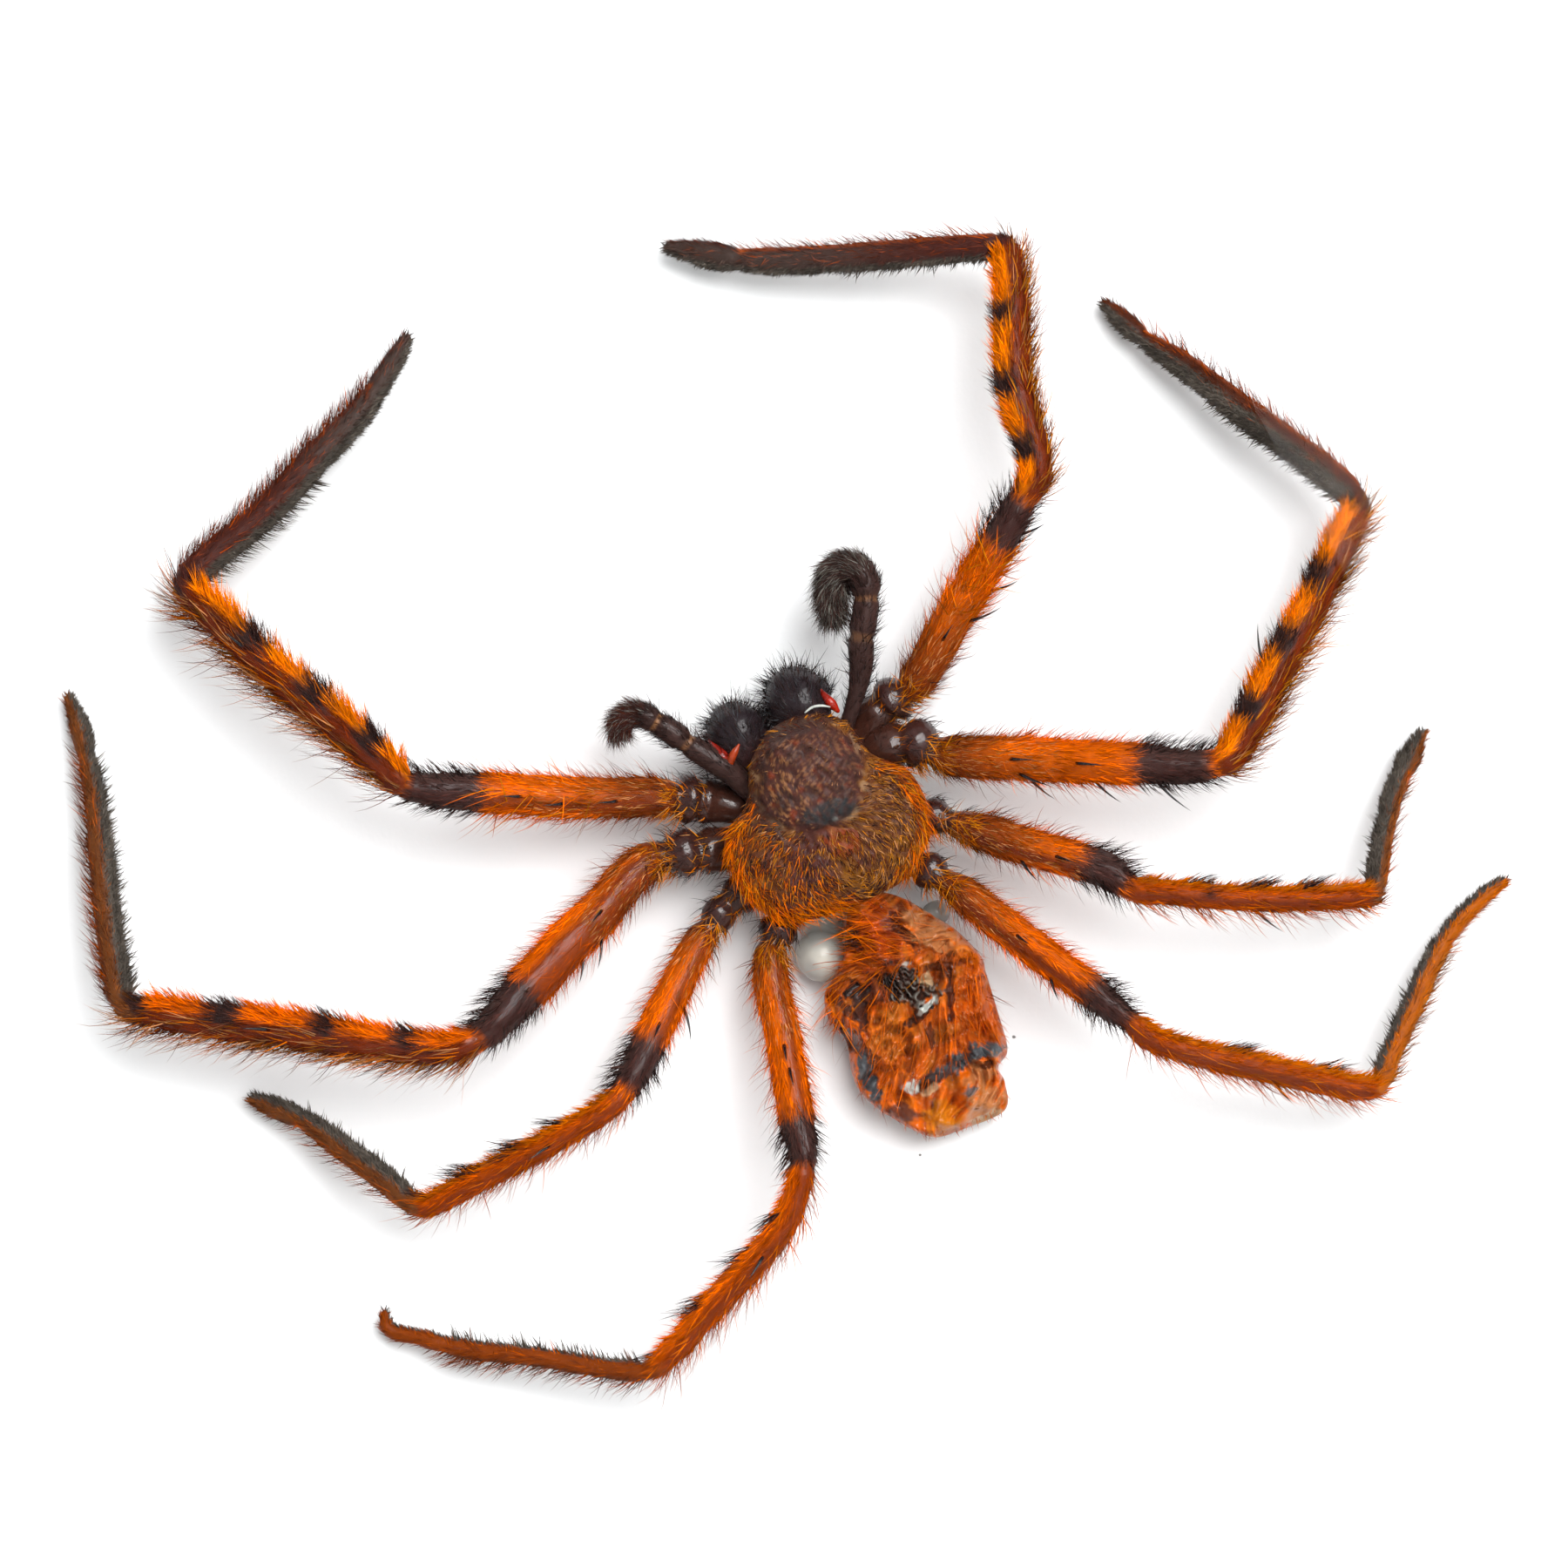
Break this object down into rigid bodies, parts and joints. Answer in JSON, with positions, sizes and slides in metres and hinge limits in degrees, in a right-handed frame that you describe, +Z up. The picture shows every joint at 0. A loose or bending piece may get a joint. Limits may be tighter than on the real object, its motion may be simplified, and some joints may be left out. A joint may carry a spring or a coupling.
{
  "type": "framed huntsman spider",
  "caption": "Dried orange and black banded huntsman spider glued with its legs spread on a white card, behind glass in a shallow square box frame with a hanger.",
  "frame": {"origin": "under the middle of the frame, on the surface that its bottom rail stands on", "axes": "+Z up, +Y from the glass to the back (the wall side), +X to the viewer's right"},
  "size_m": [0.176, 0.032, 0.176],
  "materials": {
    "rail_wood": "satin",
    "clear_glass": "polished",
    "spacer_board": "matte",
    "white_card": "matte",
    "fibre_board": "matte",
    "zinc_steel": "satin",
    "carapace_brown": "matte",
    "abdomen_skin": "satin",
    "jaw_black": "matte",
    "palp_brown": "matte",
    "leg_orange": "satin",
    "dried_glue": "gloss"
  },
  "bodies": {
    "root": {"abdomen": "abdomen_skin", "back_panel": "fibre_board", "carapace": "carapace_brown", "chelicera_left": "jaw_black", "chelicera_right": "jaw_black", "frame_rail_bottom": "rail_wood", "frame_rail_left": "rail_wood", "frame_rail_right": "rail_wood", "frame_rail_top": "rail_wood", "glass_pane": "clear_glass", "glue_left": "dried_glue", "glue_right": "dried_glue", "hanger_pin_left": "zinc_steel", "hanger_pin_right": "zinc_steel", "hanger_plate": "zinc_steel", "leg_left_1": "leg_orange", "leg_left_2": "leg_orange", "leg_left_3": "leg_orange", "leg_left_4": "leg_orange", "leg_right_1": "leg_orange", "leg_right_2": "leg_orange", "leg_right_3": "leg_orange", "leg_right_4": "leg_orange", "mount_card": "white_card", "palp_left": "palp_brown", "palp_right": "palp_brown", "retainer_bottom": "zinc_steel", "retainer_left": "zinc_steel", "retainer_right": "zinc_steel", "retainer_top": "zinc_steel", "spacer_bottom": "spacer_board", "spacer_left": "spacer_board", "spacer_right": "spacer_board", "spacer_top": "spacer_board"}
  },
  "joints": []
}
